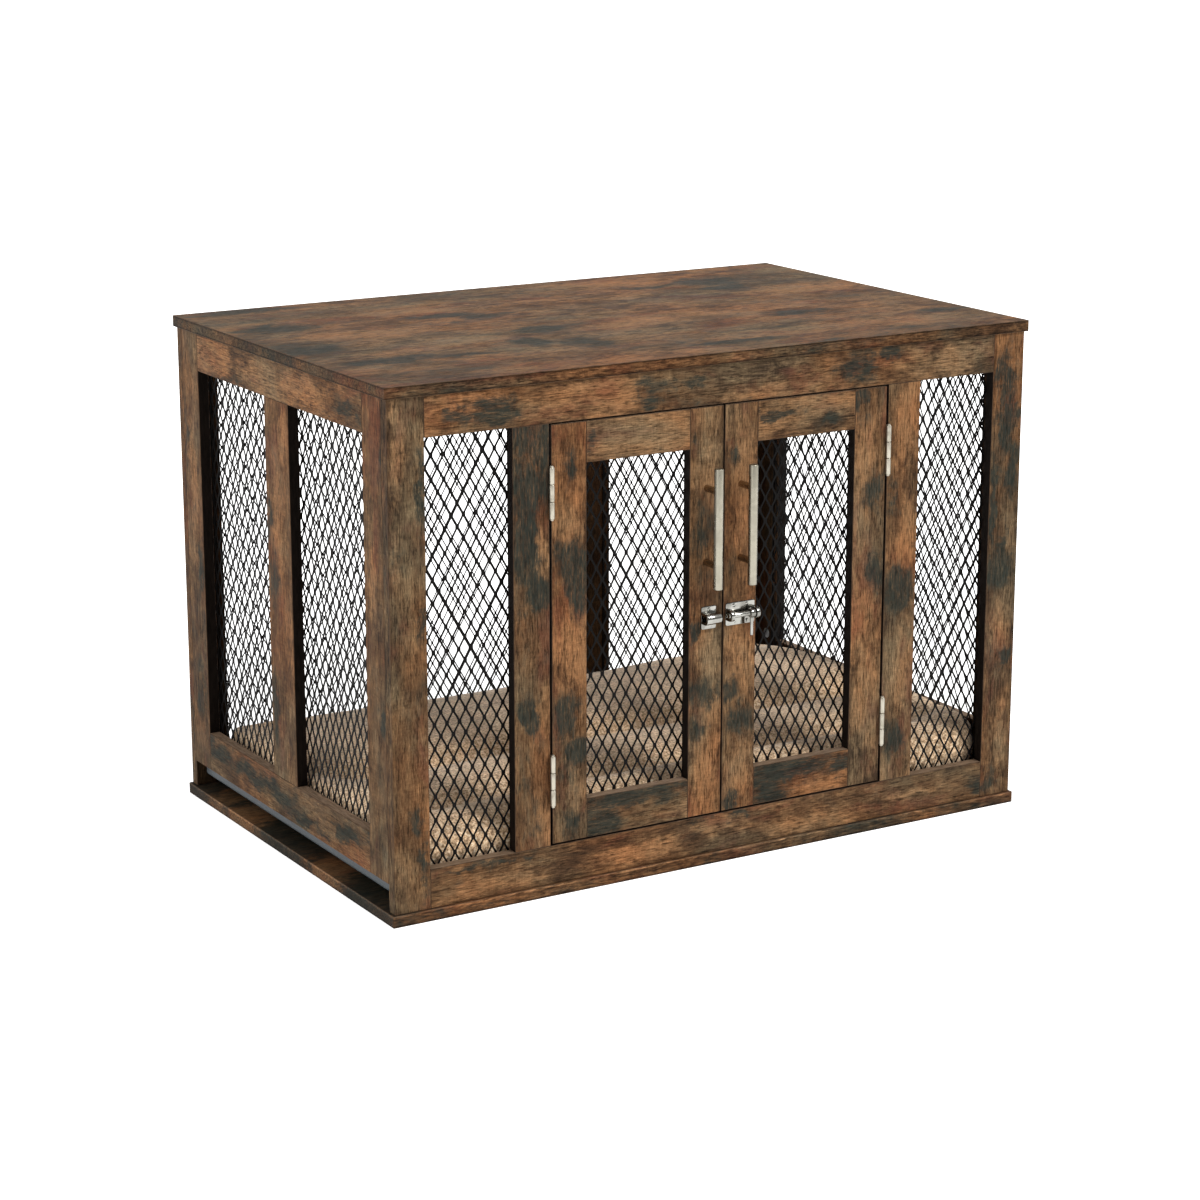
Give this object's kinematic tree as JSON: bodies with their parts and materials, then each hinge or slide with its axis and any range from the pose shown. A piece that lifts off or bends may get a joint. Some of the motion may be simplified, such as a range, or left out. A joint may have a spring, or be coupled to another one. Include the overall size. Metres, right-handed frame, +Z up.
{
  "type": "pet crate",
  "caption": "Furniture-style pet crate: a low wooden end table with mesh walls, two hinged mesh doors with a barrel bolt, a floor cushion and a tray that slides out sideways.",
  "frame": {"origin": "centre of the base panel's underside", "axes": "+X to the right seen from the front, the front faces -Y, +Z up"},
  "size_m": [0.96, 0.654, 0.673],
  "materials": {
    "wood": "rustic brown laminated board",
    "mesh": "black coated expanded metal",
    "hinge_steel": "bright zinc",
    "handle_nickel": "brushed nickel",
    "latch_chrome": "chromed",
    "cushion_fabric": "taupe woven plush",
    "tray": "blue-grey moulded",
    "guide_steel": "black coated channel",
    "fittings": "bright zinc"
  },
  "bodies": {
    "frame": {"base_panel": "wood", "base_screws": "fittings", "cam_bolts": "fittings", "cam_locks": "fittings", "cushion": "cushion_fabric", "frame_hinge_leaves": "hinge_steel", "frame_hinge_screws": "hinge_steel", "front_bottom_rail": "wood", "front_left_mesh": "mesh", "front_left_mullion": "wood", "front_left_post": "wood", "front_right_mesh": "mesh", "front_right_mullion": "wood", "front_right_post": "wood", "front_top_rail": "wood", "hinge_pins": "hinge_steel", "left_bottom_rail": "wood", "left_front_stile": "wood", "left_mesh": "mesh", "left_middle_stile": "wood", "left_rear_stile": "wood", "left_top_rail": "wood", "rear_bottom_rail": "wood", "rear_left_mullion": "wood", "rear_left_post": "wood", "rear_mesh": "mesh", "rear_right_mullion": "wood", "rear_right_post": "wood", "rear_top_rail": "wood", "right_bottom_rail": "wood", "right_front_stile": "wood", "right_mesh": "mesh", "right_middle_stile": "wood", "right_rear_stile": "wood", "right_top_rail": "wood", "top_panel": "wood", "tray_guides": "guide_steel"},
    "left_door": {"latch_keeper": "latch_chrome", "left_door_bottom_rail": "wood", "left_door_handle": "handle_nickel", "left_door_handle_screws": "fittings", "left_door_hinge_leaves": "hinge_steel", "left_door_hinge_screws": "hinge_steel", "left_door_inner_stile": "wood", "left_door_mesh": "mesh", "left_door_outer_stile": "wood", "left_door_top_rail": "wood"},
    "right_door": {"latch_housing": "latch_chrome", "right_door_bottom_rail": "wood", "right_door_handle": "handle_nickel", "right_door_handle_screws": "fittings", "right_door_hinge_leaves": "hinge_steel", "right_door_hinge_screws": "hinge_steel", "right_door_inner_stile": "wood", "right_door_mesh": "mesh", "right_door_outer_stile": "wood", "right_door_top_rail": "wood"},
    "latch_bolt": {"latch_bolt": "latch_chrome"},
    "latch_knob": {"latch_knob": "latch_chrome"},
    "tray": {"tray": "tray"}
  },
  "joints": [
    {"name": "left_door_hinge", "type": "hinge", "parent": "frame", "child": "left_door", "pos_m": [-0.2535, -0.3115, 0.3365], "axis": [0, 0, -1], "range_deg": [0, 170]},
    {"name": "right_door_hinge", "type": "hinge", "parent": "frame", "child": "right_door", "pos_m": [0.2535, -0.3115, 0.3365], "axis": [0, 0, 1], "range_deg": [0, 170]},
    {"name": "latch_bolt_slide", "type": "slide", "parent": "right_door", "child": "latch_bolt", "axis": [-1, 0, 0], "range_m": [0, 0.026]},
    {"name": "latch_knob_turn", "type": "hinge", "parent": "latch_bolt", "child": "latch_knob", "pos_m": [0.0387, -0.317, 0.332], "axis": [-1, 0, 0], "range_deg": [0, 90]},
    {"name": "tray_slide", "type": "slide", "parent": "frame", "child": "tray", "axis": [-1, 0, 0], "range_m": [0, 0.945]}
  ]
}
